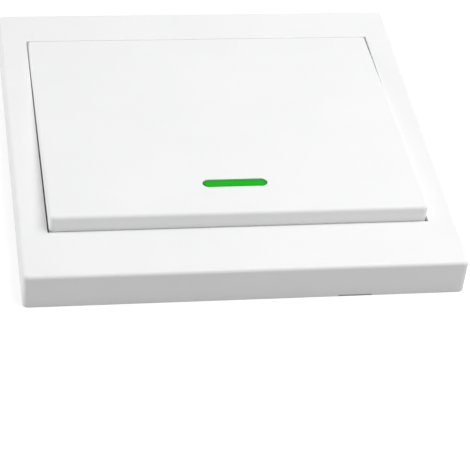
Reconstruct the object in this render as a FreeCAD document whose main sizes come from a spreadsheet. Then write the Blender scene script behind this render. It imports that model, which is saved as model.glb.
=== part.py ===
import FreeCAD, Part
import math
import os
import re

import Sketcher
from FreeCAD import Placement, Rotation, Vector

# Wireless remote wall switch: a square panel lying on its back, with one tilted rocker key.
# X runs along the hinge, Y from the key's free edge to its hinge, Z out of the wall.
# The origin is the centre of the back face. All sizes are in millimetres.

driving = {
    # front frame
    "panel_width": 86.0,
    "panel_length": 86.0,
    "frame_height": 7.6,
    "corner_radius": 1.1,
    "edge_round": 0.75,
    "skirt_wall": 1.8,
    "top_wall": 1.8,
    "side_margin": 5.5,
    "near_margin": 12.7,
    "far_margin": 10.0,
    "opening_round": 0.15,
    "collar_wall": 1.2,
    "collar_depth": 1.7,
    "ear_wall": 1.0,
    "ear_thickness": 1.3,
    "catch_offset": 30.0,
    "catch_length": 8.0,
    "catch_base": 2.4,
    "catch_height": 0.8,
    "catch_depth": 0.6,
    "margin_rib_pitch": 15.0,
    "margin_rib_wall": 1.0,
    "margin_rib_depth": 2.0,
    "margin_rib_gap": 1.5,
    "notch_offset": 21.2,
    "notch_width": 6.8,
    "notch_height": 0.35,
    # rocker key
    "key_gap": 0.16,
    "far_gap": 0.1,
    "key_draw": 0.12,
    "key_rise": 3.5,
    "key_wall": 1.6,
    "key_skirt": 1.2,
    "key_corner": 1.0,
    "key_round": 0.75,
    "key_far_round": 0.2,
    "skirt_clearance": 1.8,
    "hinge_inset": 2.1,
    "hinge_height": 4.6,
    "pin_radius": 1.2,
    "pin_length": 1.4,
    "pin_fit": 0.05,
    "lug_offset": 22.0,
    "lug_width": 6.0,
    "lug_reach": 1.8,
    "lug_height": 1.0,
    "lug_gap": 0.15,
    "rib_offset": 29.0,
    "rib_wall": 1.0,
    "rib_depth": 1.2,
    "far_rib_setback": 7.8,
    "near_rib_setback": 3.3,
    "boss_radius": 1.8,
    "press_gap": 0.1,
    "press_travel": 0.8,
    # light strip in the key
    "strip_length": 13.0,
    "strip_width": 2.5,
    "strip_setback": 9.7,
    "strip_fit": 0.05,
    "strip_sink": 0.05,
    "strip_bevel": 0.2,
    "flange_margin": 0.8,
    "flange_thickness": 0.8,
    "stem_length": 4.0,
    "stem_width": 1.6,
    "stem_gap": 1.2,
    # back plate
    "plate_clearance": 0.15,
    "plate_thickness": 1.4,
    "plate_corner": 0.6,
    "rail_wall": 1.0,
    "rail_height": 2.0,
    "rail_inset": 3.0,
    "hook_gap": 0.2,
    "hook_bite": 0.35,
    "hook_slit": 0.8,
    "nose_height": 1.4,
    "nose_flat": 0.5,
    "slot_spacing": 60.3,
    "slot_length": 8.0,
    "slot_width": 4.2,
    "slot_boss_wall": 1.2,
    "slot_boss_height": 0.8,
    "stop_offset": 12.0,
    "stop_length": 6.0,
    "stop_gap": 0.3,
    # circuit board and its fixings
    "board_drop": 4.4,
    "board_thickness": 1.0,
    "board_side_margin": 0.25,
    "board_near_gap": 4.1,
    "board_far_gap": 9.2,
    "post_inset": 2.8,
    "post_radius": 2.4,
    "pilot_floor": 0.7,
    "screw_radius": 0.95,
    "screw_fit": 0.05,
    "screw_end_gap": 0.2,
    "screw_head_radius": 1.9,
    "screw_head_height": 1.1,
    "board_hole_fit": 0.15,
    # tactile switch
    "switch_reach": 17.5,
    "switch_size": 6.0,
    "switch_base_height": 2.0,
    "switch_floor": 0.8,
    "switch_well_radius": 2.5,
    "switch_cover_thickness": 0.3,
    "switch_height": 3.1,
    "plunger_radius": 1.75,
    "plunger_fit": 0.05,
    "plunger_flange_fit": 0.2,
    "dome_radius": 2.2,
    "dome_height": 0.45,
    "dome_crown": 0.7,
    "dome_sheet": 0.1,
    "dome_gap": 0.02,
    "terminal_sheet": 0.2,
    "terminal_width": 0.7,
    "terminal_rise": 1.0,
    "terminal_foot": 1.3,
    "terminal_pitch": 4.5,
    # coin cell and its holder
    "cell_offset": 11.0,
    "cell_near_margin": 1.35,
    "cell_radius": 10.0,
    "cell_thickness": 2.5,
    "cell_cap_radius": 8.6,
    "cell_cap_height": 0.3,
    "cell_edge": 0.3,
    "cell_fit": 0.15,
    "holder_floor": 0.5,
    "holder_wall": 1.0,
    "holder_height": 2.0,
    "clip_sheet": 0.25,
    "clip_width": 5.0,
    "clip_gap": 0.15,
    "clip_foot": 1.2,
    "contact_length": 14.0,
    "contact_width": 4.0,
    "contact_sheet": 0.2,
    "mouth_width": 8.0,
    # small components on the board
    "chip_inset": 11.0,
    "chip_setback": 20.0,
    "chip_width": 3.9,
    "chip_length": 9.9,
    "chip_height": 1.45,
    "chip_lift": 0.15,
    "chip_pin_pitch": 1.27,
    "chip_pins_a_side": 8.0,
    "chip_pin_width": 0.4,
    "pin_sheet": 0.2,
    "pin_shoulder": 0.5,
    "pin_foot": 0.6,
    "pin_exit": 0.7,
    "saw_inset": 11.5,
    "saw_setback": 7.0,
    "saw_size": 5.0,
    "saw_height": 1.0,
    "saw_lid_height": 0.4,
    "saw_lid_margin": 0.4,
    "transistor_inset": 16.5,
    "transistor_setback": 12.5,
    "transistor_width": 1.3,
    "transistor_length": 2.9,
    "transistor_height": 1.0,
    "transistor_lift": 0.1,
    "transistor_pin_pitch": 1.9,
    "led_length": 2.0,
    "led_width": 1.25,
    "led_base": 0.4,
    "led_lens": 0.4,
    "led_margin": 0.3,
    "resistor_inset": 4.0,
    "resistor_pitch": 2.4,
    "resistor_count": 5.0,
    "resistor_height": 0.5,
    "capacitor_gap": 3.0,
    "capacitor_pitch": 2.8,
    "capacitor_count": 4.0,
    "capacitor_height": 0.8,
    "passive_length": 1.6,
    "passive_width": 0.8,
    "antenna_offset": 7.0,
    "antenna_setback": 2.2,
    "antenna_span": 16.0,
    "antenna_rise": 2.4,
    "antenna_wire": 0.8,
    "antenna_bend": 0.7,
}

# Sizes and places that follow from the driving ones.
derived = {
    "cavity_width": "panel_width - 2 * skirt_wall",
    "cavity_length": "panel_length - 2 * skirt_wall",
    "opening_width": "panel_width - 2 * side_margin",
    "opening_far": "panel_length / 2 - far_margin",
    "opening_near": "near_margin - panel_length / 2",
    "top_underside": "frame_height - top_wall",
    "key_width": "opening_width - 2 * key_gap",
    "key_far": "opening_far - far_gap",
    "key_near": "opening_near + key_gap",
    "key_slope": "key_rise / (key_far - key_near)",
    "key_tilt": "atan(key_slope)",
    "key_bottom": "plate_thickness + skirt_clearance",
    "key_drop": "key_wall * sqrt(1 + key_slope ^ 2)",
    "hinge_place": "key_far - hinge_inset",
    "bearing_radius": "pin_radius + pin_fit",
    "ear_radius": "bearing_radius + ear_wall",
    "catch_top": "catch_base + catch_height",
    "rail_face": "cavity_length / 2 - catch_depth - hook_gap",
    "nose_base": "catch_top + hook_gap",
    "nose_face": "cavity_length / 2 - catch_depth + hook_bite",
    "stop_top": "key_bottom - press_travel - stop_gap",
    "strip_place": "key_near + strip_setback",
    "strip_top": "frame_height + key_slope * (key_far - strip_place)",
    "board_top": "frame_height - board_drop",
    "board_bottom": "board_top - board_thickness",
    "board_side": "cell_offset + clip_inside + clip_sheet + clip_foot + board_side_margin",
    "board_near": "key_near + key_skirt + board_near_gap",
    "board_far": "hinge_place - board_far_gap",
    "board_post_x": "board_side - post_inset",
    "board_post_near": "board_near + post_inset",
    "board_post_far": "board_far - post_inset",
    "switch_place": "hinge_place - switch_reach",
    "plunger_top": "board_top + switch_height",
    "switch_roof": "frame_height + key_slope * (key_far - switch_place) - key_drop",
    "flange_base": "switch_floor + dome_height + dome_gap",
    "led_top": "board_top + led_base + led_lens",
    "holder_radius": "cell_radius + cell_fit + holder_wall",
    "clip_inside": "holder_radius + clip_gap",
    "clip_inner_height": "holder_floor + cell_thickness",
    "cell_place_x": "-1 * cell_offset",
    "cell_place_y": "board_near + cell_near_margin + holder_radius",
    "chip_place_x": "board_side - chip_inset",
    "chip_place_y": "board_far - chip_setback",
    "first_chip_pin": "chip_place_y - (chip_pins_a_side - 1) * chip_pin_pitch / 2",
    "saw_place_x": "board_side - saw_inset",
    "saw_place_y": "board_far - saw_setback",
    "transistor_place_x": "board_side - transistor_inset",
    "transistor_place_y": "board_far - transistor_setback",
    "resistor_place_x": "board_side - resistor_inset",
    "resistor_place_y": "chip_place_y - (resistor_count - 1) * resistor_pitch / 2",
    "capacitor_place_x": "chip_place_x - (capacitor_count - 1) * capacitor_pitch / 2",
    "capacitor_place_y": "chip_place_y - chip_length / 2 - capacitor_gap",
    "antenna_place_x": "-1 * antenna_offset",
    "antenna_place_y": "board_far - antenna_setback",
}

# Lengths below same_place count as none; a face looks up if its normal's Z is above looks_up.
same_place = 1e-6
looks_up = 0.9

doc = FreeCAD.newDocument("wireless_wall_switch")
sheet = doc.addObject("Spreadsheet::Sheet", "sizes")
for row, (name, number) in enumerate(driving.items(), 1):
    sheet.set(f"A{row}", name)
    sheet.set(f"B{row}", str(number))
    sheet.setAlias(f"B{row}", name)
doc.recompute()
subparts = []


def formula(text):
    """Write out a formula in the sheet's own cells: derived names are spelled out in full."""

    def spell(match):
        word = match[0]
        if word in derived:
            return "(" + formula(derived[word]) + ")"
        return "sizes." + word if word in driving else word

    return re.sub(r"[a-z_]+", spell, str(text))


def bind(thing, prop, text):
    """Tie one property of an object to a formula."""
    thing.setExpression(prop, formula(text))


def new_body(label, x="0", y="0", z="0"):
    """An empty sub-part whose own origin sits at x, y, z; it may hold several solids."""
    body = doc.addObject("PartDesign::Body", label)
    body.Label = label
    body.AllowCompound = True
    for axis, text in (("x", x), ("y", y), ("z", z)):
        bind(body, f"Placement.Base.{axis}", text)
    subparts.append(body)
    return body


def origin_item(body, role):
    """One of the body's own planes or axes."""
    return next(item for item in body.Origin.OriginFeatures if item.Role == role)


def new_sketch(body, role="XY_Plane", lift="0"):
    """A sketch on one of the body's planes, moved along the plane's normal by lift."""
    sketch = body.newObject("Sketcher::SketchObject", "sketch")
    sketch.AttachmentSupport = [(origin_item(body, role), "")]
    sketch.MapMode = "FlatFace"
    bind(sketch, "AttachmentOffset.Base.z", lift)
    return sketch


def measure(sketch, kind, geometry, point, text):
    """Place one point of a sketch at a signed distance from the sketch's origin."""
    index = sketch.addConstraint(Sketcher.Constraint(kind, -1, 1, geometry, point, 1.0))
    bind(sketch, f"Constraints[{index}]", text)


def add_lines(sketch, corners):
    """A closed chain of lines through some starting points; gives the lines' numbers."""
    vectors = [Vector(x, y, 0) for x, y in corners]
    lines = []
    for start, end in zip(vectors, vectors[1:] + vectors[:1]):
        lines.append(sketch.addGeometry(Part.LineSegment(start, end)))
    for line, following in zip(lines, lines[1:] + lines[:1]):
        sketch.addConstraint(Sketcher.Constraint("Coincident", line, 2, following, 1))
    return lines


def rectangle(sketch, left, right, bottom, top):
    """A rectangle between four signed distances."""
    lines = add_lines(sketch, ((-1, -1), (1, -1), (1, 1), (-1, 1)))
    for line, kind in zip(lines, ("Horizontal", "Vertical", "Horizontal", "Vertical")):
        sketch.addConstraint(Sketcher.Constraint(kind, line))
    measure(sketch, "DistanceX", lines[0], 1, left)
    measure(sketch, "DistanceY", lines[0], 1, bottom)
    measure(sketch, "DistanceX", lines[2], 1, right)
    measure(sketch, "DistanceY", lines[2], 1, top)


def centred(sketch, width, length, x="0", y="0"):
    """A rectangle of a width and a length about a centre."""
    rectangle(
        sketch,
        f"{x} - ({width}) / 2",
        f"{x} + ({width}) / 2",
        f"{y} - ({length}) / 2",
        f"{y} + ({length}) / 2",
    )


def outline(sketch, points):
    """A closed polygon whose corners are pairs of formulas."""
    turn = 2 * math.pi / len(points)
    starts = [(math.cos(turn * corner), math.sin(turn * corner)) for corner in range(len(points))]
    lines = add_lines(sketch, starts)
    for line, (across, up) in zip(lines, points):
        measure(sketch, "DistanceX", line, 1, across)
        measure(sketch, "DistanceY", line, 1, up)


def circle(sketch, radius, x="0", y="0"):
    """A circle of a radius about a centre."""
    ring = sketch.addGeometry(Part.Circle(Vector(0, 0, 0), Vector(0, 0, 1), 1.0))
    index = sketch.addConstraint(Sketcher.Constraint("Radius", ring, 1.0))
    bind(sketch, f"Constraints[{index}]", radius)
    measure(sketch, "DistanceX", ring, 3, x)
    measure(sketch, "DistanceY", ring, 3, y)


def pad(body, sketch, length, both_ways=False, backwards=False):
    """Add the sketch's area, along its normal or half to each side."""
    feature = body.newObject("PartDesign::Pad", "pad")
    feature.Profile = sketch
    feature.SideType = "Symmetric" if both_ways else "One side"
    feature.Reversed = backwards
    bind(feature, "Length", length)
    doc.recompute()
    return feature


def pocket(body, sketch, length, both_ways=False, forwards=False):
    """Cut the sketch's area away, against its normal unless told forwards."""
    before = body.Shape.Volume
    feature = body.newObject("PartDesign::Pocket", "pocket")
    feature.Profile = sketch
    feature.SideType = "Symmetric" if both_ways else "One side"
    feature.Reversed = forwards
    bind(feature, "Length", length)
    doc.recompute()
    if not feature.Shape.Volume < before:
        raise RuntimeError(f"a pocket of {body.Label} cuts nothing")
    return feature


def oblong(body, act, depth, length, width, x="0", lift="0", attach=None, **direction):
    """Add or cut a slot with round ends along X: its straight middle, then its two ends."""
    middle = new_sketch(body, lift=lift)
    centred(middle, f"({length}) - ({width})", width, x)
    ends = new_sketch(body, lift=lift)
    for sign in ("-", "+"):
        circle(ends, f"({width}) / 2", f"{x} {sign} (({length}) - ({width})) / 2")
    for sketch in (middle, ends):
        if attach:
            attach(sketch)
        act(body, sketch, depth, **direction)


def revolve(body, points):
    """A turned shape about Z from a half profile of (radius, height) formulas."""
    sketch = new_sketch(body, "XZ_Plane")
    outline(sketch, points)
    feature = body.newObject("PartDesign::Revolution", "revolution")
    feature.Profile = sketch
    feature.ReferenceAxis = (sketch, ["V_Axis"])
    doc.recompute()
    return feature


def mirror(body, features):
    """Repeat features on the other side of the body's YZ plane."""
    feature = body.newObject("PartDesign::Mirrored", "mirrored")
    feature.Originals = features
    feature.MirrorPlane = (origin_item(body, "YZ_Plane"), [""])
    body.Tip = feature
    doc.recompute()
    return feature


def row_of(body, features, axis, count, pitch):
    """Repeat features in a row along one of the body's axes."""
    feature = body.newObject("PartDesign::LinearPattern", "row")
    feature.Originals = features
    feature.Direction = (origin_item(body, axis), [""])
    bind(feature, "Length", f"({count} - 1) * {pitch}")
    bind(feature, "Occurrences", count)
    body.Tip = feature
    doc.recompute()
    return feature


def dress_edges(body, kind, choose):
    """Start a fillet or chamfer on the edges that choose picks from the body's shape so far."""
    base = body.Tip
    chosen = choose(base.Shape)
    names = []
    for number, edge in enumerate(base.Shape.Edges, 1):
        if any(edge.isSame(other) for other in chosen):
            names.append(f"Edge{number}")
    feature = body.newObject(f"PartDesign::{kind}", kind.lower())
    feature.Base = (base, names)
    return feature


def round_edges(body, radius, choose):
    """Round the chosen edges."""
    bind(dress_edges(body, "Fillet", choose), "Radius", radius)
    doc.recompute()


def bevel_edges(body, size, choose):
    """Bevel the chosen edges."""
    bind(dress_edges(body, "Chamfer", choose), "Size", size)
    doc.recompute()


def upright_edges(shape):
    """The straight edges along Z."""
    return [edge for edge in shape.Edges if max(edge.BoundBox.XLength, edge.BoundBox.YLength) < same_place]


def top_faces(shape):
    """The highest of the flat faces that look up."""
    flat = [face for face in shape.Faces if isinstance(face.Surface, Part.Plane)]
    upward = [face for face in flat if face.normalAt(0, 0).z > looks_up]
    highest = max(face.CenterOfMass.z for face in upward)
    return [face for face in upward if face.CenterOfMass.z > highest - same_place]


def rim_edges(shape):
    """The outer edges of the highest faces."""
    return [edge for face in top_faces(shape) for edge in face.OuterWire.Edges]


def opening_edges(shape):
    """The edges of the openings in the highest faces."""
    rims = rim_edges(shape)
    edges = [edge for face in top_faces(shape) for edge in face.Edges]
    return [edge for edge in edges if not any(edge.isSame(rim) for rim in rims)]


def bend_edges(shape):
    """The highest edges along Y."""
    top = shape.BoundBox.ZMax
    level = [edge for edge in shape.Edges if edge.BoundBox.ZMin > top - same_place]
    return [edge for edge in level if edge.BoundBox.XLength < same_place]


def key_height(y):
    """The height of the key's sloping top above the back, at a place along Y."""
    return f"frame_height + key_slope * (key_far - ({y}))"


# Front frame: a square shell, open at the back, with a collar round the key's opening.
frame = new_body("front_frame")
block = new_sketch(frame)
centred(block, "panel_width", "panel_length")
pad(frame, block, "frame_height")
round_edges(frame, "corner_radius", upright_edges)
round_edges(frame, "edge_round", rim_edges)

cavity = new_sketch(frame)
centred(cavity, "cavity_width", "cavity_length")
pocket(frame, cavity, "top_underside", forwards=True)

opening = new_sketch(frame, lift="top_underside / 2")
rectangle(opening, "-opening_width / 2", "opening_width / 2", "opening_near", "opening_far")
pocket(frame, opening, "frame_height", forwards=True)
round_edges(frame, "opening_round", opening_edges)

collar = new_sketch(frame, lift="top_underside - collar_depth")
outline(
    collar,
    (
        ("-opening_width / 2 - collar_wall", "opening_near"),
        ("-opening_width / 2", "opening_near"),
        ("-opening_width / 2", "opening_far"),
        ("opening_width / 2", "opening_far"),
        ("opening_width / 2", "opening_near"),
        ("opening_width / 2 + collar_wall", "opening_near"),
        ("opening_width / 2 + collar_wall", "opening_far + collar_wall"),
        ("-opening_width / 2 - collar_wall", "opening_far + collar_wall"),
    ),
)
pad(frame, collar, "collar_depth + top_wall / 2")

# Ribs stiffen the wide margins, clear of the key's lugs on the near side.
margin_ribs = new_sketch(frame, lift="top_underside - margin_rib_depth")
far_start = "opening_far + collar_wall / 2"
near_start = "opening_near - lug_reach - margin_rib_gap"
skirt_middle = "cavity_length / 2 + skirt_wall / 2"
for place in ("-1 * margin_rib_pitch", "0", "margin_rib_pitch"):
    left = f"{place} - margin_rib_wall / 2"
    right = f"{place} + margin_rib_wall / 2"
    rectangle(margin_ribs, left, right, far_start, skirt_middle)
    rectangle(margin_ribs, left, right, f"-({skirt_middle})", near_start)
pad(frame, margin_ribs, "margin_rib_depth + top_wall / 2")

# Two ears carry the key's hinge pins.
ear_arm = new_sketch(frame, "YZ_Plane", "opening_width / 2")
rectangle(
    ear_arm,
    "hinge_place - ear_radius",
    "hinge_place + ear_radius",
    "hinge_height",
    "top_underside + top_wall / 2",
)
ear_tip = new_sketch(frame, "YZ_Plane", "opening_width / 2")
circle(ear_tip, "ear_radius", "hinge_place", "hinge_height")
ears = [pad(frame, ear_arm, "ear_thickness"), pad(frame, ear_tip, "ear_thickness")]
mirror(frame, ears)
bearings = new_sketch(frame, "YZ_Plane")
circle(bearings, "bearing_radius", "hinge_place", "hinge_height")
pocket(frame, bearings, "opening_width + 2 * ear_thickness + 2 * pin_fit", both_ways=True)

# Catches inside the near and far skirts hold the back plate's hooks.
catch = new_sketch(frame, "YZ_Plane", "catch_offset - catch_length / 2")
outline(
    catch,
    (
        ("cavity_length / 2 + skirt_wall / 2", "catch_base"),
        ("cavity_length / 2 + skirt_wall / 2", "catch_top"),
        ("cavity_length / 2 - catch_depth", "catch_top"),
        ("cavity_length / 2 - catch_depth", "catch_base + catch_height / 2"),
        ("cavity_length / 2", "catch_base"),
    ),
)
catches = [pad(frame, catch, "catch_length")]
mirror(frame, catches)
catch_near = new_sketch(frame, "YZ_Plane", "catch_offset - catch_length / 2")
outline(
    catch_near,
    (
        ("-cavity_length / 2 - skirt_wall / 2", "catch_base"),
        ("-cavity_length / 2", "catch_base"),
        ("-cavity_length / 2 + catch_depth", "catch_base + catch_height / 2"),
        ("-cavity_length / 2 + catch_depth", "catch_top"),
        ("-cavity_length / 2 - skirt_wall / 2", "catch_top"),
    ),
)
mirror(frame, [pad(frame, catch_near, "catch_length")])

# A notch in the near skirt takes a blade that prises the frame off the back plate.
notch = new_sketch(frame, "XZ_Plane", "panel_length / 2")
rectangle(
    notch,
    "notch_offset - notch_width / 2",
    "notch_offset + notch_width / 2",
    "0",
    "notch_height",
)
pocket(frame, notch, "skirt_wall")

# Back plate: a flat tray with two hooked rails, screw slots, board posts and key stops.
plate = new_body("back_plate")
floor = new_sketch(plate)
centred(floor, "cavity_width - 2 * plate_clearance", "cavity_length - 2 * plate_clearance")
pad(plate, floor, "plate_thickness")
round_edges(plate, "plate_corner", upright_edges)


def rail_and_hooks(sign):
    """One hooked rail along the near (-1) or far (1) skirt."""
    face = f"{sign}(rail_face)"
    back = f"{sign}(rail_face - rail_wall)"
    low, high = (face, back) if sign == "-1 * " else (back, face)
    rail = new_sketch(plate, lift="plate_thickness")
    half = "cavity_width / 2 - rail_inset"
    rectangle(rail, f"-({half})", half, low, high)
    pad(plate, rail, "rail_height")
    slits = new_sketch(plate, lift="plate_thickness")
    for side in ("-1 * ", ""):
        for edge in ("- catch_length / 2 - hook_slit / 2", "+ catch_length / 2 + hook_slit / 2"):
            middle = f"{side}(catch_offset {edge})"
            rectangle(slits, f"{middle} - hook_slit / 2", f"{middle} + hook_slit / 2", low, high)
    pocket(plate, slits, "rail_height", forwards=True)
    hook = new_sketch(plate, "YZ_Plane", "catch_offset - catch_length / 2")
    tip = f"{sign}(nose_face)"
    points = (
        (back, "plate_thickness"),
        (face, "plate_thickness"),
        (face, "nose_base"),
        (tip, "nose_base"),
        (tip, "nose_base + nose_flat"),
        (face, "nose_base + nose_height"),
        (back, "nose_base + nose_height"),
    )
    outline(hook, points)
    mirror(plate, [pad(plate, hook, "catch_length")])


rail_and_hooks("-1 * ")
rail_and_hooks("1 * ")

# The edge is notched under each hook's nose, where the mould closes.
relief = new_sketch(plate)
for side in ("-1 * ", ""):
    for sign in ("-1 * ", ""):
        inner = f"{sign}(rail_face)"
        outer = f"{sign}(cavity_length / 2)"
        low, high = (outer, inner) if sign else (inner, outer)
        middle = f"{side}(catch_offset)"
        rectangle(relief, f"{middle} - catch_length / 2", f"{middle} + catch_length / 2", low, high)
pocket(plate, relief, "plate_thickness", forwards=True)

for side in ("-", ""):
    place = f"{side}slot_spacing / 2"
    boss_length = "slot_length + 2 * slot_boss_wall"
    boss_width = "slot_width + 2 * slot_boss_wall"
    slot_depth = "plate_thickness + slot_boss_height"
    oblong(plate, pad, "slot_boss_height", boss_length, boss_width, place, "plate_thickness")
    oblong(plate, pocket, slot_depth, "slot_length", "slot_width", place, forwards=True)

# Four posts carry the board; two of them, on a diagonal, take screws.
screw_posts = (("-1 * (board_post_x)", "board_post_near"), ("board_post_x", "board_post_far"))
plain_posts = (("-1 * (board_post_x)", "board_post_far"), ("board_post_x", "board_post_near"))
posts = new_sketch(plate, lift="plate_thickness")
for x, y in screw_posts + plain_posts:
    circle(posts, "post_radius", x, y)
pad(plate, posts, "board_bottom - plate_thickness")
pilots = new_sketch(plate, lift="pilot_floor")
for x, y in screw_posts:
    circle(pilots, "screw_radius + screw_fit", x, y)
pocket(plate, pilots, "board_bottom - pilot_floor", forwards=True)

stops = new_sketch(plate, lift="plate_thickness")
for side in ("-", ""):
    rectangle(
        stops,
        f"{side}stop_offset - stop_length / 2",
        f"{side}stop_offset + stop_length / 2",
        "key_near",
        "key_near + key_skirt",
    )
pad(plate, stops, "stop_top - plate_thickness")

# Rocker key: hollow, its top sloping from the frame's level up to its free edge.
key = new_body("rocker_key")
profile = new_sketch(key, "YZ_Plane")
outline(
    profile,
    (
        ("key_near", "key_bottom"),
        ("key_far", "key_bottom"),
        ("key_far", key_height("key_far")),
        ("key_near", key_height("key_near")),
    ),
)
pad(key, profile, "key_width", both_ways=True)

# Both sides draw in a little towards the free edge, to swing clear of the frame.
draw = new_sketch(key)
for side in ("-1 * ", ""):
    flank = f"{side}(key_width / 2)"
    drawn = f"{side}(key_width / 2 - key_draw)"
    outline(draw, ((flank, "key_far"), (drawn, "key_near"), (flank, "key_near")))
pocket(key, draw, "frame_height + key_rise", forwards=True)


def near_uprights(shape):
    """The edges along Z at the key's free edge."""
    nearest = shape.BoundBox.YMin
    return [edge for edge in upright_edges(shape) if edge.BoundBox.YMin < nearest + same_place]


def far_rim(shape):
    """The edge along X at the far end of the key's top."""
    farthest = shape.BoundBox.YMax
    return [edge for edge in rim_edges(shape) if edge.BoundBox.YMin > farthest - same_place]


def other_rim(shape):
    """The edges of the key's top that are still sharp once its far edge is round."""
    farthest = max(edge.BoundBox.YMin for edge in rim_edges(shape))
    return [edge for edge in rim_edges(shape) if edge.BoundBox.YMin < farthest - same_place]


round_edges(key, "key_corner", near_uprights)
round_edges(key, "key_far_round", far_rim)
round_edges(key, "key_round", other_rim)

hollow = new_sketch(key, "YZ_Plane")
inner_far = "key_far - key_skirt"
inner_near = "key_near + key_skirt"
outline(
    hollow,
    (
        (inner_near, "key_bottom"),
        (inner_far, "key_bottom"),
        (inner_far, key_height(inner_far) + " - key_drop"),
        (inner_near, key_height(inner_near) + " - key_drop"),
    ),
)
pocket(key, hollow, "key_width - 2 * key_skirt", both_ways=True)

pin = new_sketch(key, "YZ_Plane", "key_width / 2 - key_skirt / 2")
circle(pin, "pin_radius", "hinge_place", "hinge_height")
mirror(key, [pad(key, pin, "key_skirt / 2 + pin_length")])

# Two lugs under the frame's near margin keep the free edge from lifting out.
lug = new_sketch(key, lift="top_underside - lug_gap - lug_height")
rectangle(
    lug,
    "lug_offset - lug_width / 2",
    "lug_offset + lug_width / 2",
    "key_near - lug_reach",
    "key_near + key_skirt / 2",
)
mirror(key, [pad(key, lug, "lug_height")])

# Ribs under the top: one along each side, one across at each end.
rib = new_sketch(key, "YZ_Plane", "rib_offset - rib_wall / 2")
outline(
    rib,
    (
        (inner_near, key_height(inner_near) + " - key_drop - rib_depth"),
        (inner_far, key_height(inner_far) + " - key_drop - rib_depth"),
        (inner_far, key_height(inner_far) + " - key_drop / 2"),
        (inner_near, key_height(inner_near) + " - key_drop / 2"),
    ),
)
mirror(key, [pad(key, rib, "rib_wall")])
for place in ("key_far - far_rib_setback", "key_near + near_rib_setback"):
    cross_rib = new_sketch(key, "YZ_Plane")
    rib_far = f"{place} + rib_wall / 2"
    rib_near = f"{place} - rib_wall / 2"
    outline(
        cross_rib,
        (
            (rib_near, key_height(rib_near) + " - key_drop - rib_depth"),
            (rib_far, key_height(rib_far) + " - key_drop - rib_depth"),
            (rib_far, key_height(rib_far) + " - key_drop / 2"),
            (rib_near, key_height(rib_near) + " - key_drop / 2"),
        ),
    )
    pad(key, cross_rib, "key_width - key_skirt", both_ways=True)

# The boss that presses the tactile switch.
boss = new_sketch(key, lift="plunger_top + press_gap")
circle(boss, "boss_radius", y="switch_place")
pad(key, boss, "switch_roof - plunger_top - press_gap + key_wall / 2")


def on_the_slope(sketch):
    """Lay a sketch on the key's sloping top, at the strip's place."""
    sketch.AttachmentOffset = Placement(Vector(), Rotation(Vector(1, 0, 0), -1))
    bind(sketch, "AttachmentOffset.Base.y", "strip_place")
    bind(sketch, "AttachmentOffset.Base.z", "strip_top")
    bind(sketch, "AttachmentOffset.Rotation.Angle", "-key_tilt")


strip_hole_depth = "key_wall + flange_thickness"
oblong(key, pocket, strip_hole_depth, "strip_length", "strip_width", attach=on_the_slope)

# Light strip: a pill level with the key's top, a flange behind it and a stem towards the lamp.
strip = new_body("indicator_strip", y="strip_place", z="strip_top")
strip.Placement = Placement(strip.Placement.Base, Rotation(Vector(1, 0, 0), -1))
bind(strip, "Placement.Rotation.Angle", "-key_tilt")
pill_length = "strip_length - 2 * strip_fit"
pill_width = "strip_width - 2 * strip_fit"
oblong(strip, pad, "key_wall - strip_sink", pill_length, pill_width, lift="-key_wall")
bevel_edges(strip, "strip_bevel", rim_edges)
flange_base_level = "-key_wall - flange_thickness"
flange_length = "strip_length + 2 * flange_margin"
flange_width = "strip_width + 2 * flange_margin"
oblong(strip, pad, "flange_thickness", flange_length, flange_width, lift=flange_base_level)
stem = new_sketch(strip, lift=flange_base_level)
centred(stem, "stem_length", "stem_width")
stem_reach = "strip_top - key_wall - flange_thickness - led_top - stem_gap"
pad(strip, stem, stem_reach, backwards=True)

# Circuit board with two screw holes, and its screws.
board = new_body("circuit_board", z="board_bottom")
board_sheet = new_sketch(board)
rectangle(board_sheet, "-board_side", "board_side", "board_near", "board_far")
for x, y in screw_posts:
    circle(board_sheet, "screw_radius + board_hole_fit", x, y)
pad(board, board_sheet, "board_thickness")

screws = new_body("board_screws", z="board_top")
heads = new_sketch(screws)
shanks = new_sketch(screws)
for x, y in screw_posts:
    circle(heads, "screw_head_radius", x, y)
    circle(shanks, "screw_radius", x, y)
pad(screws, heads, "screw_head_height")
pad(screws, shanks, "board_top - pilot_floor - screw_end_gap", backwards=True)

# Tactile switch: base with a round well, snap dome, plunger, cover plate and four terminals.
switch = new_body("switch_base", y="switch_place", z="board_top")
base = new_sketch(switch)
centred(base, "switch_size", "switch_size")
pad(switch, base, "switch_base_height")
well = new_sketch(switch, lift="switch_floor")
circle(well, "switch_well_radius")
pocket(switch, well, "switch_base_height", forwards=True)

dome = new_body("switch_dome", y="switch_place", z="board_top + switch_floor")
revolve(
    dome,
    (
        ("0", "dome_height - dome_sheet"),
        ("dome_crown", "dome_height - dome_sheet"),
        ("dome_radius - 2 * dome_sheet", "0"),
        ("dome_radius", "0"),
        ("dome_radius", "dome_sheet"),
        ("dome_crown + dome_sheet", "dome_height"),
        ("0", "dome_height"),
    ),
)

plunger = new_body("switch_plunger", y="switch_place", z="board_top")
plunger_flange = new_sketch(plunger, lift="flange_base")
circle(plunger_flange, "switch_well_radius - plunger_flange_fit")
pad(plunger, plunger_flange, "switch_base_height - flange_base - plunger_fit")
plunger_stem = new_sketch(plunger, lift="flange_base")
circle(plunger_stem, "plunger_radius")
pad(plunger, plunger_stem, "switch_height - flange_base")

cover = new_body("switch_cover", y="switch_place", z="board_top + switch_base_height")
cover_sheet = new_sketch(cover)
centred(cover_sheet, "switch_size", "switch_size")
circle(cover_sheet, "plunger_radius + plunger_fit")
pad(cover, cover_sheet, "switch_cover_thickness")

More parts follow.
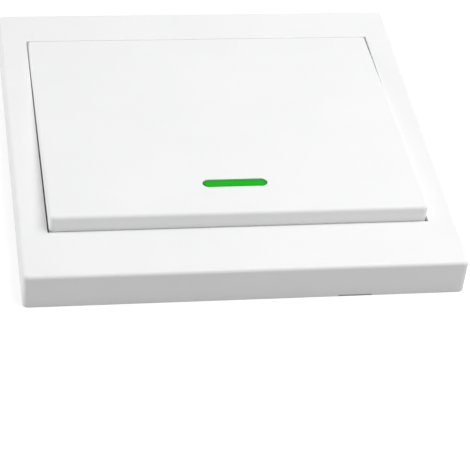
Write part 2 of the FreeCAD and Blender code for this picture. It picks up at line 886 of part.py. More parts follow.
terminals = new_body("switch_terminals", y="switch_place - terminal_pitch / 2", z="board_top")
terminal = new_sketch(terminals, "XZ_Plane")
for side in ("-1 * ", "1 * "):
    wall = f"{side}(switch_size / 2)"
    sheet_face = f"{side}(switch_size / 2 + terminal_sheet)"
    toe = f"{side}(switch_size / 2 + terminal_foot)"
    outline(
        terminal,
        (
            (wall, "0"),
            (toe, "0"),
            (toe, "terminal_sheet"),
            (sheet_face, "terminal_sheet"),
            (sheet_face, "terminal_rise"),
            (wall, "terminal_rise"),
        ),
    )
terminal_pair = pad(terminals, terminal, "terminal_width", both_ways=True)
row_of(terminals, [terminal_pair], "Y_Axis", "2", "terminal_pitch")

# Coin cell in a round tray, with a sprung strap over it and a contact strip under it.
cell_place = ("cell_place_x", "cell_place_y")
holder = new_body("battery_holder", *cell_place, "board_top")
tray = new_sketch(holder)
circle(tray, "holder_radius")
pad(holder, tray, "holder_floor + holder_height")
bowl = new_sketch(holder, lift="holder_floor")
circle(bowl, "cell_radius + cell_fit")
pocket(holder, bowl, "holder_height", forwards=True)
mouth = new_sketch(holder, lift="holder_floor")
rectangle(mouth, "-mouth_width / 2", "mouth_width / 2", "-holder_radius", "0")
pocket(holder, mouth, "holder_height", forwards=True)
contact_seat = new_sketch(holder, lift="holder_floor")
centred(contact_seat, "contact_length + 2 * cell_fit", "contact_width + 2 * cell_fit")
pocket(holder, contact_seat, "contact_sheet")

contact = new_body("battery_contact", *cell_place, "board_top + holder_floor - contact_sheet")
contact_strip = new_sketch(contact)
centred(contact_strip, "contact_length", "contact_width")
pad(contact, contact_strip, "contact_sheet")

cell = new_body("coin_cell", *cell_place, "board_top + holder_floor")
revolve(
    cell,
    (
        ("0", "0"),
        ("cell_cap_radius", "0"),
        ("cell_cap_radius", "cell_cap_height"),
        ("cell_radius", "cell_cap_height"),
        ("cell_radius", "cell_thickness - cell_edge"),
        ("cell_radius - cell_edge", "cell_thickness"),
        ("0", "cell_thickness"),
    ),
)

clip = new_body("battery_clip", *cell_place, "board_top")
strap = new_sketch(clip, "XZ_Plane")
outline(
    strap,
    (
        ("-clip_inside - clip_sheet - clip_foot", "0"),
        ("-clip_inside", "0"),
        ("-clip_inside", "clip_inner_height"),
        ("clip_inside", "clip_inner_height"),
        ("clip_inside", "0"),
        ("clip_inside + clip_sheet + clip_foot", "0"),
        ("clip_inside + clip_sheet + clip_foot", "clip_sheet"),
        ("clip_inside + clip_sheet", "clip_sheet"),
        ("clip_inside + clip_sheet", "clip_inner_height + clip_sheet"),
        ("-clip_inside - clip_sheet", "clip_inner_height + clip_sheet"),
        ("-clip_inside - clip_sheet", "clip_sheet"),
        ("-clip_inside - clip_sheet - clip_foot", "clip_sheet"),
    ),
)
pad(clip, strap, "clip_width", both_ways=True)


def gull_wing(sketch, side, half_width):
    """One bent lead: out of the package's side, down, and out along the board."""
    wall = f"{side}({half_width})"
    knee = f"{side}({half_width} + pin_shoulder)"
    outer_knee = f"{side}({half_width} + pin_shoulder + pin_sheet)"
    toe = f"{side}({half_width} + pin_shoulder + pin_foot)"
    outline(
        sketch,
        (
            (wall, "pin_exit"),
            (knee, "pin_exit"),
            (knee, "0"),
            (toe, "0"),
            (toe, "pin_sheet"),
            (outer_knee, "pin_sheet"),
            (outer_knee, "pin_exit + pin_sheet"),
            (wall, "pin_exit + pin_sheet"),
        ),
    )


# Encoder chip and its two rows of leads.
chip = new_body("encoder_chip", "chip_place_x", "chip_place_y", "board_top + chip_lift")
chip_block = new_sketch(chip)
centred(chip_block, "chip_width", "chip_length")
pad(chip, chip_block, "chip_height")
chip_leads = new_body("encoder_chip_leads", "chip_place_x", "first_chip_pin", "board_top")
chip_lead = new_sketch(chip_leads, "XZ_Plane")
gull_wing(chip_lead, "-1 * ", "chip_width / 2")
gull_wing(chip_lead, "1 * ", "chip_width / 2")
lead_pair = pad(chip_leads, chip_lead, "chip_pin_width", both_ways=True)
row_of(chip_leads, [lead_pair], "Y_Axis", "chip_pins_a_side", "chip_pin_pitch")

# Resonator: a flat package with a metal lid.
saw = new_body("saw_resonator", "saw_place_x", "saw_place_y", "board_top")
saw_block = new_sketch(saw)
centred(saw_block, "saw_size", "saw_size")
pad(saw, saw_block, "saw_height")
saw_lid = new_sketch(saw, lift="saw_height")
centred(saw_lid, "saw_size - 2 * saw_lid_margin", "saw_size - 2 * saw_lid_margin")
pad(saw, saw_lid, "saw_lid_height")

# Radio transistor with two leads on one side and one on the other.
transistor_place = ("transistor_place_x", "transistor_place_y")
transistor = new_body("rf_transistor", *transistor_place, "board_top + transistor_lift")
transistor_block = new_sketch(transistor)
centred(transistor_block, "transistor_width", "transistor_length")
pad(transistor, transistor_block, "transistor_height")
transistor_leads = new_body("transistor_leads", *transistor_place, "board_top")
for side, place in (
    ("-1 * ", "-transistor_pin_pitch / 2"),
    ("-1 * ", "transistor_pin_pitch / 2"),
    ("1 * ", "0"),
):
    transistor_lead = new_sketch(transistor_leads, "XZ_Plane", place)
    gull_wing(transistor_lead, side, "transistor_width / 2")
    pad(transistor_leads, transistor_lead, "chip_pin_width", both_ways=True)

# Lamp under the light strip's stem.
led = new_body("indicator_led", y="strip_place", z="board_top")
led_block = new_sketch(led)
centred(led_block, "led_length", "led_width")
pad(led, led_block, "led_base")
led_window = new_sketch(led, lift="led_base")
centred(led_window, "led_length - 2 * led_margin", "led_width")
pad(led, led_window, "led_lens")


def passives(label, place, height, axis, count, pitch):
    """A row of equal chip components."""
    body = new_body(label, *place, "board_top")
    sketch = new_sketch(body)
    centred(sketch, "passive_length", "passive_width")
    row_of(body, [pad(body, sketch, height)], axis, count, pitch)


resistor_place = ("resistor_place_x", "resistor_place_y")
passives(
    "chip_resistors", resistor_place, "resistor_height", "Y_Axis", "resistor_count", "resistor_pitch"
)
capacitor_place = ("capacitor_place_x", "capacitor_place_y")
passives(
    "chip_capacitors", capacitor_place, "capacitor_height", "X_Axis", "capacitor_count", "capacitor_pitch"
)

# Loop antenna: one bent strip standing on the board.
antenna = new_body("loop_antenna", "antenna_place_x", "antenna_place_y", "board_top")
loop = new_sketch(antenna, "XZ_Plane")
outline(
    loop,
    (
        ("-antenna_span / 2", "0"),
        ("-antenna_span / 2 + antenna_wire", "0"),
        ("-antenna_span / 2 + antenna_wire", "antenna_rise - antenna_wire"),
        ("antenna_span / 2 - antenna_wire", "antenna_rise - antenna_wire"),
        ("antenna_span / 2 - antenna_wire", "0"),
        ("antenna_span / 2", "0"),
        ("antenna_span / 2", "antenna_rise"),
        ("-antenna_span / 2", "antenna_rise"),
    ),
)
pad(antenna, loop, "antenna_wire", both_ways=True)
round_edges(antenna, "antenna_bend", bend_edges)

doc.recompute()
for item in doc.Objects:
    if "Invalid" in item.State or "Error" in item.State:
        raise RuntimeError(f"{item.Label} did not build: {item.State}")
for part in subparts:
    if part.Shape.isNull() or not part.Shape.isValid() or not part.Shape.Solids:
        raise RuntimeError(f"{part.Label} has no valid solid")

os.makedirs("parts", exist_ok=True)
for part in subparts:
    part.Shape.exportStep(f"parts/{part.Label}.step")
    print(part.Label, len(part.Shape.Solids), "solids", round(part.Shape.Volume, 2), "mm3")
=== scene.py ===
# Wireless remote wall switch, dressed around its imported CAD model.
# X runs along the hinge, Y from the key's free edge to its hinge, Z out of the wall; metres throughout.
import math

import bpy
import numpy as np
from mathutils import Matrix, Vector


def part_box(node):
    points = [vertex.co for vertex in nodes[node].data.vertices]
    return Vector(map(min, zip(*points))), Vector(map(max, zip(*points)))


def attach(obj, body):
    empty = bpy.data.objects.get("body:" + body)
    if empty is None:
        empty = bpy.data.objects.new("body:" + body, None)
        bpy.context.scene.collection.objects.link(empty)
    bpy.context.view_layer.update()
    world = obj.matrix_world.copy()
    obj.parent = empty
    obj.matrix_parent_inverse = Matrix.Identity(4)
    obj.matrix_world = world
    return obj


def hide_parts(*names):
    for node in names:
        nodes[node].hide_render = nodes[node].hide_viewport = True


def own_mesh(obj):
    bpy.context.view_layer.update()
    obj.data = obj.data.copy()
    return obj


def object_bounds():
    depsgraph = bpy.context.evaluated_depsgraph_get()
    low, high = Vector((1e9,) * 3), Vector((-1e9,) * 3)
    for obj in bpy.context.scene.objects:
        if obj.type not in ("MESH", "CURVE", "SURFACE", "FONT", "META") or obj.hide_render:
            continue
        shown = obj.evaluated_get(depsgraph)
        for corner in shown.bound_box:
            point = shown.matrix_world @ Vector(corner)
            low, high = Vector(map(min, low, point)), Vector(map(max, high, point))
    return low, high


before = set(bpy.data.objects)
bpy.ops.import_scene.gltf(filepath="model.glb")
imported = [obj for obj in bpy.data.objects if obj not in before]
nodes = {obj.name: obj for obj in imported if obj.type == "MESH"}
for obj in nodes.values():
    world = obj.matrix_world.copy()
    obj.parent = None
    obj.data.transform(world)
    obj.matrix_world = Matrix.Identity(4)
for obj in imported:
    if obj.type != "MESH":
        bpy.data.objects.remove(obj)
cadLow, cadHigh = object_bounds()
mm = 0.001
noiseLow, noiseHigh = 0.3, 0.7  # most of a noise lies between these


# shader node helpers


def newMaterial(name):
    # an empty node material: gives its tree, its shader and its object coordinates
    material = bpy.data.materials.new(name)
    material.use_nodes = True
    tree = material.node_tree
    shader = tree.nodes["Principled BSDF"]
    coords = tree.nodes.new("ShaderNodeTexCoord").outputs["Object"]
    return material, tree, shader, coords


def setSockets(node, values):
    for socketName, value in values.items():
        node.inputs[socketName].default_value = value


def feed(tree, node, values):
    for socketName, value in values.items():
        tree.links.new(value, node.inputs[socketName])


def noise(tree, coords, size, detail, falloff=0.5):
    # soft noise, 0 to 1: blotches about size metres across, each finer layer falloff times as strong
    node = tree.nodes.new("ShaderNodeTexNoise")
    setSockets(node, {"Scale": 1.0 / size, "Detail": detail, "Roughness": falloff})
    feed(tree, node, {"Vector": coords})
    return node.outputs["Fac"]


def stretched(tree, coords, scale):
    # coordinates scaled along each axis: under 1 draws a pattern out, over 1 squeezes it
    node = tree.nodes.new("ShaderNodeMapping")
    setSockets(node, {"Scale": scale})
    feed(tree, node, {"Vector": coords})
    return node.outputs["Vector"]


def axes(tree, vector):
    # the x, y and z of a vector
    node = tree.nodes.new("ShaderNodeSeparateXYZ")
    feed(tree, node, {"Vector": vector})
    return node.outputs["X"], node.outputs["Y"], node.outputs["Z"]


def calc(tree, operation, *terms):
    # one Math node: each term is a socket or a plain number
    node = tree.nodes.new("ShaderNodeMath")
    node.operation = operation
    for socket, term in zip(node.inputs, terms):
        if isinstance(term, (int, float)):
            socket.default_value = term
        else:
            tree.links.new(term, socket)
    return node.outputs["Value"]


def past(tree, value, edge):
    # how far a value lies past an edge, 0 before it
    return calc(tree, "MAXIMUM", calc(tree, "SUBTRACT", value, edge), 0.0)


def distance(tree, x, y):
    # the length of a step of x and y: the root of the sum of their squares
    squares = calc(tree, "ADD", calc(tree, "MULTIPLY", x, x), calc(tree, "MULTIPLY", y, y))
    return calc(tree, "SQRT", squares)


def spread(tree, value, low, high, fromLow=noiseLow, fromHigh=noiseHigh):
    # a value carried from one range onto another, held at the ends
    node = tree.nodes.new("ShaderNodeMapRange")
    setSockets(node, {"From Min": fromLow, "From Max": fromHigh, "To Min": low, "To Max": high})
    feed(tree, node, {"Value": value})
    return node.outputs["Result"]


def tint(tree, value, stops):
    # a colour ramp over 0 to 1: stops are (place, colour)
    ramp = tree.nodes.new("ShaderNodeValToRGB")
    elements = ramp.color_ramp.elements
    while len(elements) < len(stops):
        elements.new(0.5)
    for element, (place, colour) in zip(elements, stops):
        element.position = place
        element.color = (*colour, 1.0)
    feed(tree, ramp, {"Fac": value})
    return ramp.outputs["Color"]


def twoTone(tree, value, deeper, paler, fromLow=noiseLow, fromHigh=noiseHigh):
    return tint(tree, value, ((fromLow, deeper), (fromHigh, paler)))


def blendColours(tree, share, under, over):
    # under where share is 0, over where it is 1; each is a socket or a colour
    node = tree.nodes.new("ShaderNodeMix")
    node.data_type = "RGBA"
    feed(tree, node, {"Factor": share})
    for name, colour in (("A", under), ("B", over)):
        socket = next(item for item in node.inputs if item.name == name and item.type == "RGBA")
        if isinstance(colour, tuple):
            socket.default_value = (*colour, 1.0)
        else:
            tree.links.new(colour, socket)
    return next(item for item in node.outputs if item.type == "RGBA")


def bumps(tree, shader, layers):
    # raised layers on top of each other: each is (height value, depth in metres)
    normal = None
    for height, depth in layers:
        node = tree.nodes.new("ShaderNodeBump")
        setSockets(node, {"Strength": 1.0, "Distance": depth})
        feed(tree, node, {"Height": height})
        if normal:
            feed(tree, node, {"Normal": normal})
        normal = node.outputs["Normal"]
    feed(tree, shader, {"Normal": normal})


def dress(material, *names):
    for name in names:
        mesh = nodes[name].data
        mesh.materials.clear()
        mesh.materials.append(material)


# white satin moulding: frame, key and back plate

whiteMoulding = {
    "paler": (0.860, 0.862, 0.860),
    "deeper": (0.840, 0.843, 0.842),
    "cloudSize": 14 * mm,
    "cloudDetail": 3.0,
    "grainSize": 0.22 * mm,
    "grainDetail": 2.0,
    "grainDepth": 0.0012 * mm,
    "waveSize": 16 * mm,
    "waveDetail": 1.0,
    "waveDepth": 0.008 * mm,
    "roughLow": 0.50,
    "roughHigh": 0.60,
    "ior": 1.48,
}


def makeWhite(name, look):
    material, tree, shader, coords = newMaterial(name)
    cloud = noise(tree, coords, look["cloudSize"], look["cloudDetail"])
    grain = noise(tree, coords, look["grainSize"], look["grainDetail"])
    wave = noise(tree, coords, look["waveSize"], look["waveDetail"])
    colour = twoTone(tree, cloud, look["deeper"], look["paler"])
    rough = spread(tree, grain, look["roughLow"], look["roughHigh"])
    feed(tree, shader, {"Base Color": colour, "Roughness": rough})
    setSockets(shader, {"IOR": look["ior"]})
    bumps(tree, shader, ((wave, look["waveDepth"]), (grain, look["grainDepth"])))
    return material


dress(makeWhite("satin white moulding", whiteMoulding), "front_frame", "rocker_key", "back_plate")
print("white mouldings dressed")

# green light strip: painted shade darkens it towards its rim, brighter along its middle

greenStrip = {
    # the rim and shoulder colours are painted shade; the core is the strip's own green
    "core": (0.004, 0.452, 0.008),
    "shadedShoulder": (0.004, 0.365, 0.007),
    "rim": (0.006, 0.255, 0.007),
    "corePlace": 0.95,  # on the way in: 0 at the outer edge, 1 where the rim's painted shade ends
    "shoulderPlace": 0.5,
    "rimWidth": 0.85 * mm,
    "flangeMargin": 0.8 * mm,
    "rough": 0.45,
    "specular": 0.08,
    "hazeSize": 1.6 * mm,
    "hazeDetail": 2.0,
    "hazeShade": 0.9,
    "hazeDepth": 0.006 * mm,
}


def makeGreen(name, look):
    material, tree, shader, coords = newMaterial(name)
    low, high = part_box("indicator_strip")
    halfLength = (high[0] - low[0]) / 2 - look["flangeMargin"]
    halfWidth = (high[1] - low[1]) / 2 - look["flangeMargin"]
    middle = (low[1] + high[1]) / 2
    # distance from the pill's middle line, which is straight between the round ends
    x, y = axes(tree, coords)[:2]
    along = past(tree, calc(tree, "ABSOLUTE", x), halfLength - halfWidth)
    across = calc(tree, "SUBTRACT", y, middle)
    away = distance(tree, along, across)
    # painted shade: the colour darkens across the rim band, standing in for shade on the strip's rounded
    # edge
    depth = spread(tree, away, 1.0, 0.0, halfWidth - look["rimWidth"], halfWidth)
    haze = noise(tree, coords, look["hazeSize"], look["hazeDetail"])
    shade = calc(tree, "MULTIPLY", depth, spread(tree, haze, look["hazeShade"], 1.0))
    stops = (
        (0.0, look["rim"]),
        (look["shoulderPlace"], look["shadedShoulder"]),
        (look["corePlace"], look["core"]),
    )
    feed(tree, shader, {"Base Color": tint(tree, shade, stops)})
    setSockets(shader, {"Roughness": look["rough"], "Specular IOR Level": look["specular"]})
    bumps(tree, shader, ((haze, look["hazeDepth"]),))
    return material


dress(makeGreen("green light guide", greenStrip), "indicator_strip")
print("light strip dressed")

# circuit board: green lacquer over copper tracks, bare glass laminate at its edges

boardLaminate = {
    "lacquer": (0.010, 0.105, 0.036),
    "lacquerPale": (0.014, 0.135, 0.048),
    "track": (0.034, 0.235, 0.075),
    "edge": (0.42, 0.38, 0.20),
    "edgePale": (0.52, 0.48, 0.28),
    "toneRange": (0.35, 0.65),
    "cloudDetail": 2.0,
    "patchSize": 7.6 * mm,  # of the lacquer's clouds and of the cells between tracks
    "patchScatter": 0.55,
    "trackEdge": (0.06, 0.08),  # from a cell's border, in patch sizes
    "trackDepth": 0.02 * mm,
    "weaveSize": 0.5 * mm,
    "weaveStretch": (1.0, 1.0, 8.0),
    "weaveDetail": 1.0,
    "weaveDepth": 0.003 * mm,
    "sideLimit": 0.5,  # a face whose normal has less Z than this is an edge
    "rough": 0.32,
}


def makeBoard(name, look):
    material, tree, shader, coords = newMaterial(name)
    cloud = noise(tree, coords, look["patchSize"], look["cloudDetail"])
    lacquer = twoTone(tree, cloud, look["lacquer"], look["lacquerPale"], *look["toneRange"])
    # tracks run along the borders of scattered cells
    cells = tree.nodes.new("ShaderNodeTexVoronoi")
    cells.feature = "DISTANCE_TO_EDGE"
    setSockets(cells, {"Scale": 1.0 / look["patchSize"], "Randomness": look["patchScatter"]})
    feed(tree, cells, {"Vector": coords})
    track = spread(tree, cells.outputs["Distance"], 1.0, 0.0, *look["trackEdge"])
    covered = blendColours(tree, track, lacquer, look["track"])
    squeezed = stretched(tree, coords, look["weaveStretch"])
    threads = noise(tree, squeezed, look["weaveSize"], look["weaveDetail"])
    bare = twoTone(tree, threads, look["edge"], look["edgePale"], *look["toneRange"])
    facing = tree.nodes.new("ShaderNodeNewGeometry").outputs["True Normal"]
    upright = calc(tree, "ABSOLUTE", axes(tree, facing)[2])
    side = calc(tree, "LESS_THAN", upright, look["sideLimit"])
    feed(tree, shader, {"Base Color": blendColours(tree, side, covered, bare)})
    setSockets(shader, {"Roughness": look["rough"]})
    bumps(tree, shader, ((track, look["trackDepth"]), (threads, look["weaveDepth"])))
    return material


dress(makeBoard("lacquered board", boardLaminate), "circuit_board")

# dark mouldings: battery tray and switch in black plastic, chips in moulding compound

blackPlastic = {
    "deeper": (0.012, 0.012, 0.013),
    "paler": (0.022, 0.022, 0.024),
    "grainSize": 0.16 * mm,
    "grainDetail": 3.0,
    "grainFalloff": 0.6,
    "grainDepth": 0.008 * mm,
    "roughLow": 0.42,
    "roughHigh": 0.62,
}
chipMoulding = {
    "deeper": (0.014, 0.014, 0.016),
    "paler": (0.040, 0.040, 0.044),
    "grainSize": 0.06 * mm,
    "grainDetail": 3.0,
    "grainFalloff": 0.6,
    "grainDepth": 0.004 * mm,
    "roughLow": 0.55,
    "roughHigh": 0.78,
}


def dressGrain(tree, shader, coords, look):
    # one grain gives the colour, the roughness and the relief
    grain = noise(tree, coords, look["grainSize"], look["grainDetail"], look["grainFalloff"])
    colour = twoTone(tree, grain, look["deeper"], look["paler"])
    rough = spread(tree, grain, look["roughLow"], look["roughHigh"])
    feed(tree, shader, {"Base Color": colour, "Roughness": rough})
    bumps(tree, shader, ((grain, look["grainDepth"]),))


def makeDark(name, look):
    material, tree, shader, coords = newMaterial(name)
    dressGrain(tree, shader, coords, look)
    return material


dress(makeDark("grained black plastic", blackPlastic), "battery_holder", "switch_base", "switch_plunger")
dress(makeDark("moulding compound", chipMoulding), "encoder_chip", "rf_transistor")
print("board and dark mouldings dressed")

# chip resistors and capacitors: a body between two tinned ends

chipResistor = {
    "deeper": (0.016, 0.016, 0.019),
    "paler": (0.030, 0.030, 0.034),
    "endLength": 0.3 * mm,
    "pitch": 0.0,  # all at one x: nothing to wrap
    "rough": 0.38,
}
chipCapacitor = {
    "deeper": (0.30, 0.19, 0.10),
    "paler": (0.40, 0.27, 0.15),
    "endLength": 0.35 * mm,
    "pitch": 2.8 * mm,
    "wrapSlack": 0.0028 * mm,  # keeps a left face from wrapping round
    "rough": 0.55,
}
tinnedEnd = {
    "deeper": (0.58, 0.58, 0.58),
    "paler": (0.70, 0.70, 0.69),
    "rough": 0.30,
    "grainSize": 0.12 * mm,
    "grainDetail": 2.0,
    "grainDepth": 0.01 * mm,
    "length": 1.6 * mm,
}


def makePassive(name, node, look, end):
    # the ends are told apart by x: from the first piece's left face, wrapped at the row's pitch
    material, tree, shader, coords = newMaterial(name)
    place = calc(tree, "SUBTRACT", axes(tree, coords)[0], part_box(node)[0][0])
    if look["pitch"]:
        place = calc(tree, "MODULO", calc(tree, "ADD", place, look["wrapSlack"]), look["pitch"])
    fromMiddle = calc(tree, "ABSOLUTE", calc(tree, "SUBTRACT", place, end["length"] / 2))
    metal = calc(tree, "GREATER_THAN", fromMiddle, end["length"] / 2 - look["endLength"])
    grain = noise(tree, coords, end["grainSize"], end["grainDetail"])
    body = twoTone(tree, grain, look["deeper"], look["paler"])
    tin = twoTone(tree, grain, end["deeper"], end["paler"])
    colour = blendColours(tree, metal, body, tin)
    rough = spread(tree, metal, look["rough"], end["rough"], 0.0, 1.0)
    feed(tree, shader, {"Base Color": colour, "Metallic": metal, "Roughness": rough})
    bumps(tree, shader, ((grain, end["grainDepth"]),))
    return material


resistorFinish = makePassive("resistor with tinned ends", "chip_resistors", chipResistor, tinnedEnd)
dress(resistorFinish, "chip_resistors")
capacitorFinish = makePassive("capacitor with tinned ends", "chip_capacitors", chipCapacitor, tinnedEnd)
dress(capacitorFinish, "chip_capacitors")

# lamp: a pale base with a milky lens on top

lampResin = {
    "base": (0.62, 0.62, 0.56),
    "lens": (0.66, 0.74, 0.52),
    "baseHeight": 0.4 * mm,
    "roughLow": 0.25,
    "roughHigh": 0.375,
    "hazeSize": 0.3 * mm,
    "hazeDetail": 2.0,
    "hazeDepth": 0.004 * mm,
}


def makeLamp(name, look):
    material, tree, shader, coords = newMaterial(name)
    height = calc(tree, "SUBTRACT", axes(tree, coords)[2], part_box("indicator_led")[0][2])
    lens = calc(tree, "GREATER_THAN", height, look["baseHeight"])
    haze = noise(tree, coords, look["hazeSize"], look["hazeDetail"])
    colour = blendColours(tree, lens, look["base"], look["lens"])
    rough = spread(tree, haze, look["roughLow"], look["roughHigh"])
    feed(tree, shader, {"Base Color": colour, "Roughness": rough})
    bumps(tree, shader, ((haze, look["hazeDepth"]),))
    return material


dress(makeLamp("milky lamp resin", lampResin), "indicator_led")
print("small components dressed")

# metals: zinc plate, sprung strip, tinned leads and the turned can of the coin cell

zincPlate = {
    "deeper": (0.50, 0.51, 0.52),
    "paler": (0.66, 0.66, 0.64),
    "stretch": (1.0, 1.0, 1.0),
    "grainSize": 0.5 * mm,
    "grainDetail": 3.0,
    "grainFalloff": 0.55,
    "grainDepth": 0.006 * mm,
    "roughLow": 0.28,
    "roughHigh": 0.46,
}
springStrip = {
    "deeper": (0.52, 0.50, 0.46),
    "paler": (0.64, 0.62, 0.57),
    "stretch": (0.06, 1.0, 0.4),
    "grainSize": 0.10 * mm,
    "grainDetail": 3.0,
    "grainFalloff": 0.55,
    "grainDepth": 0.004 * mm,
    "roughLow": 0.22,
    "roughHigh": 0.38,
}
tinnedLead = {
    "deeper": (0.60, 0.60, 0.60),
    "paler": (0.74, 0.74, 0.73),
    "stretch": (1.0, 1.0, 1.0),
    "grainSize": 0.18 * mm,
    "grainDetail": 3.0,
    "grainFalloff": 0.55,
    "grainDepth": 0.008 * mm,
    "roughLow": 0.24,
    "roughHigh": 0.36,
}
cellCan = {
    "deeper": (0.56, 0.56, 0.56),
    "paler": (0.72, 0.72, 0.71),
    "grainSize": 0.09 * mm,
    "grainDetail": 3.0,
    "grainFalloff": 0.6,
    "grainDepth": 0.002 * mm,
    "roughLow": 0.20,
    "roughHigh": 0.34,
}


def makeMetal(name, look):
    material, tree, shader, coords = newMaterial(name)
    dressGrain(tree, shader, stretched(tree, coords, look["stretch"]), look)
    setSockets(shader, {"Metallic": 1.0})
    return material


def makeCell(name, look):
    # turning marks: the grain runs along the distance from the can's own axis
    material, tree, shader, coords = newMaterial(name)
    low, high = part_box("coin_cell")
    x, y, z = axes(tree, coords)
    aside = calc(tree, "SUBTRACT", x, (low[0] + high[0]) / 2)
    ahead = calc(tree, "SUBTRACT", y, (low[1] + high[1]) / 2)
    turned = tree.nodes.new("ShaderNodeCombineXYZ")
    feed(tree, turned, {"X": distance(tree, aside, ahead), "Z": z})
    dressGrain(tree, shader, turned.outputs["Vector"], look)
    setSockets(shader, {"Metallic": 1.0})
    return material


springMetal = makeMetal("sprung strip", springStrip)
leadNodes = ("switch_terminals", "encoder_chip_leads", "transistor_leads", "loop_antenna")
dress(makeMetal("zinc plate", zincPlate), "board_screws", "saw_resonator")
dress(springMetal, "switch_cover", "battery_contact", "battery_clip")
dress(makeMetal("tinned lead", tinnedLead), *leadNodes)
dress(makeCell("turned cell can", cellCan), "coin_cell")
print("metals dressed")

# snap dome: the real one flattens under the switch's plunger; here it is a sheet of its own, at rest

snapDome = {
    "sheet": 0.1 * mm,
    "rings": 12,
    "steps": 48,
    "pressedShare": 0.45,
}


def makeSnapDome(look):
    # a round bell: at share t of its radius the sheet lies at (1 - t^2)^2 of the rise
    low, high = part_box("switch_dome")
    middle = np.add(low, high) / 2
    foot = np.array((middle[0], middle[1], low[2]))
    share = np.linspace(0.0, 1.0, look["rings"] + 1)[1:]
    rise = high[2] - low[2] - look["sheet"]
    bell = rise * (1 - share**2) ** 2
    # the rings run out along the top and back along the underside
    reach = (high[0] - middle[0]) * np.concatenate((share, share[::-1]))
    height = np.concatenate((bell + look["sheet"], bell[::-1]))
    turn = np.linspace(0.0, 2 * math.pi, look["steps"], endpoint=False)
    rings = np.stack((
        np.outer(reach, np.cos(turn)),
        np.outer(reach, np.sin(turn)),
        np.outer(height, np.ones_like(turn)),
    ), axis=-1)
    crowns = np.array(((0.0, 0.0, rise + look["sheet"]), (0.0, 0.0, rise)))
    points = foot + np.vstack((rings.reshape(-1, 3), crowns))
    # four-sided walls from ring to ring, and a fan of triangles round each crown
    here = np.arange(rings.shape[0] * look["steps"]).reshape(rings.shape[:2])
    following = np.roll(here, -1, axis=1)
    topCrown = np.full(look["steps"], here.size)
    walls = np.stack((here[:-1], here[1:], following[1:], following[:-1]), axis=-1).reshape(-1, 4)
    topFan = np.column_stack((topCrown, here[0], following[0]))
    lowerFan = np.column_stack((topCrown + 1, following[-1], here[-1]))
    mesh = bpy.data.meshes.new("snap_dome")
    mesh.from_pydata(points.tolist(), [], walls.tolist() + topFan.tolist() + lowerFan.tolist())
    mesh.shade_smooth()
    mesh.materials.append(springMetal)
    dome = bpy.data.objects.new("snap_dome", mesh)
    bpy.context.scene.collection.objects.link(dome)
    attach(dome, "housing")
    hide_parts("switch_dome")
    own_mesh(dome)


makeSnapDome(snapDome)
print("snap dome shaped")

# camera: fitted to the photograph

viewer = {
    "place": (-63.037 * mm, -308.88 * mm, 247.587 * mm),
    "yaw": -12.552,  # degrees, as are the next two
    "pitch": 40.31,
    "roll": -6.426,
    "focal": 1920.29,  # pixels, as is the next
    "imageWidth": 470.0,
    "sensor": 36.0,  # millimetres
    "clipNear": 0.01,
    "clipFar": 50.0,
}


def makeCamera(look):
    yaw = math.radians(look["yaw"])
    pitch = math.radians(look["pitch"])
    roll = math.radians(look["roll"])
    ahead = Vector((-math.sin(yaw) * math.cos(pitch), math.cos(yaw) * math.cos(pitch), -math.sin(pitch)))
    level = Vector((math.cos(yaw), math.sin(yaw), 0.0))
    down = ahead.cross(level)
    right = math.cos(roll) * level + math.sin(roll) * down
    up = math.sin(roll) * level - math.cos(roll) * down
    data = bpy.data.cameras.new("viewer")
    data.sensor_width = look["sensor"]
    data.lens = look["focal"] * look["sensor"] / look["imageWidth"]
    data.clip_start = look["clipNear"]
    data.clip_end = look["clipFar"]
    camera = bpy.data.objects.new("viewer", data)
    turn = Matrix((right, up, -ahead)).transposed().to_4x4()
    camera.matrix_world = Matrix.Translation(look["place"]) @ turn
    bpy.context.scene.collection.objects.link(camera)
    bpy.context.scene.camera = camera


makeCamera(viewer)
print("camera set")

# studio: pale floor, soft lamps, even sky

studio = {
    "floorHalf": 3.0,
    "floorDrop": 0.02 * mm,
    "floorColour": (0.60, 0.60, 0.60),  # as light meets it
    "floorSeenColour": (0.50, 0.50, 0.50),  # as the camera sees it, before the lift
    "floorUnderShade": (0.40, 0.40, 0.40),  # the same, under the panel: darker, as painted shade seen in the notch
    "floorLiftNear": 0.66,
    "floorLiftFar": 1.0,
    "floorFade": (0.12, 0.60),  # from the middle: where the lift starts to grow, and where it is full
    "footCorner": 1.1 * mm,
    "sky": 0.38,
    "skySeen": 1.0,
    "lamps": (
        # name, place, size, watts
        ("overhead softbox", (0.22, -0.040, 0.50), 0.45, 2.37),
        ("left strip", (-0.70, 0.12, 0.05), 0.35, 2.8),
        ("back fill", (0.22, -0.28, -0.45), 0.40, 1.2),
    ),
    "aim": (0.0, 0.0, 0.0),
}


def cameraLikeRays(tree):
    # 1 for rays from the camera, or seen through gloss or glass, else 0
    path = tree.nodes.new("ShaderNodeLightPath")
    seen = path.outputs["Is Camera Ray"]
    for more in ("Is Glossy Ray", "Is Transmission Ray"):
        seen = calc(tree, "MAXIMUM", seen, path.outputs[more])
    return seen


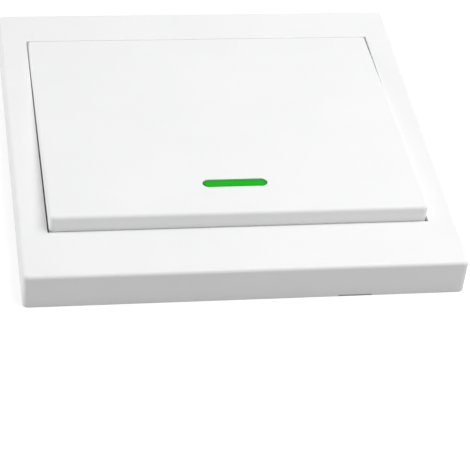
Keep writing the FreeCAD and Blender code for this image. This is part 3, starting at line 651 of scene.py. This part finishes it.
def makeFloorPaint(name, look):
    material, tree, shader, coords = newMaterial(name)
    tree.nodes.remove(shader)  # the paint and the glow below take its place
    seen = cameraLikeRays(tree)
    x, y = axes(tree, coords)[:2]
    aside = calc(tree, "ABSOLUTE", x)
    ahead = calc(tree, "ABSOLUTE", y)
    # outside the panel's foot: past the corner's radius from the square of the corners' centres
    inner = cadHigh[0] - look["footCorner"]
    fromInner = distance(tree, past(tree, aside, inner), past(tree, ahead, inner))
    outside = calc(tree, "GREATER_THAN", fromInner, look["footCorner"])
    # seen in the notch, the floor under the panel is painted darker, as shade in the recess
    seenColour = blendColours(tree, outside, look["floorUnderShade"], look["floorSeenColour"])
    paint = tree.nodes.new("ShaderNodeBsdfDiffuse")
    feed(tree, paint, {"Color": blendColours(tree, seen, look["floorColour"], seenColour)})
    # lifted towards white for the camera, more so far from the panel
    reach = calc(tree, "MAXIMUM", aside, ahead)
    distant = spread(tree, reach, look["floorLiftNear"], look["floorLiftFar"], *look["floorFade"])
    lift = calc(tree, "MULTIPLY", calc(tree, "MULTIPLY", seen, outside), distant)
    glow = tree.nodes.new("ShaderNodeEmission")
    feed(tree, glow, {"Strength": lift})
    both = tree.nodes.new("ShaderNodeAddShader")
    tree.links.new(paint.outputs["BSDF"], both.inputs[0])
    tree.links.new(glow.outputs["Emission"], both.inputs[1])
    # clear from underneath, and under the panel to light, so that the back can be looked at
    fromBelow = tree.nodes.new("ShaderNodeNewGeometry").outputs["Backfacing"]
    camera = tree.nodes.new("ShaderNodeLightPath").outputs["Is Camera Ray"]
    covered = calc(tree, "SUBTRACT", 1.0, calc(tree, "MAXIMUM", outside, camera))
    clear = tree.nodes.new("ShaderNodeBsdfTransparent")
    choice = tree.nodes.new("ShaderNodeMixShader")
    feed(tree, choice, {"Fac": calc(tree, "MAXIMUM", fromBelow, covered)})
    tree.links.new(both.outputs["Shader"], choice.inputs[1])
    tree.links.new(clear.outputs["BSDF"], choice.inputs[2])
    feed(tree, tree.nodes["Material Output"], {"Surface": choice.outputs["Shader"]})
    return material


def makeFloor(look):
    # a flat square: corner (i, j) lies at (i, j) times the half width
    signs = np.array(((-1, -1), (1, -1), (1, 1), (-1, 1)), float)
    corners = np.column_stack((signs * look["floorHalf"], np.full(4, -look["floorDrop"])))
    mesh = bpy.data.meshes.new("floor")
    mesh.from_pydata(corners.tolist(), [], [(0, 1, 2, 3)])
    mesh.materials.append(makeFloorPaint("pale floor", look))
    floor = bpy.data.objects.new("floor", mesh)
    bpy.context.scene.collection.objects.link(floor)


def makeSky(look):
    world = bpy.data.worlds.new("even sky")
    bpy.context.scene.world = world
    world.use_nodes = True
    tree = world.node_tree
    background = tree.nodes["Background"]
    setSockets(background, {"Color": (1.0, 1.0, 1.0, 1.0)})
    strength = spread(tree, cameraLikeRays(tree), look["sky"], look["skySeen"], 0.0, 1.0)
    feed(tree, background, {"Strength": strength})


def makeLamps(look):
    for name, place, size, watts in look["lamps"]:
        data = bpy.data.lights.new(name, "AREA")
        data.shape = "DISK"
        data.size = size
        data.energy = watts
        lamp = bpy.data.objects.new(name, data)
        towards = Vector(look["aim"]) - Vector(place)
        turn = towards.to_track_quat("-Z", "Y").to_matrix().to_4x4()
        lamp.matrix_world = Matrix.Translation(place) @ turn
        lamp.visible_camera = False
        bpy.context.scene.collection.objects.link(lamp)


makeFloor(studio)
makeSky(studio)
makeLamps(studio)
bpy.context.scene.view_settings.view_transform = "Standard"
print("studio set")
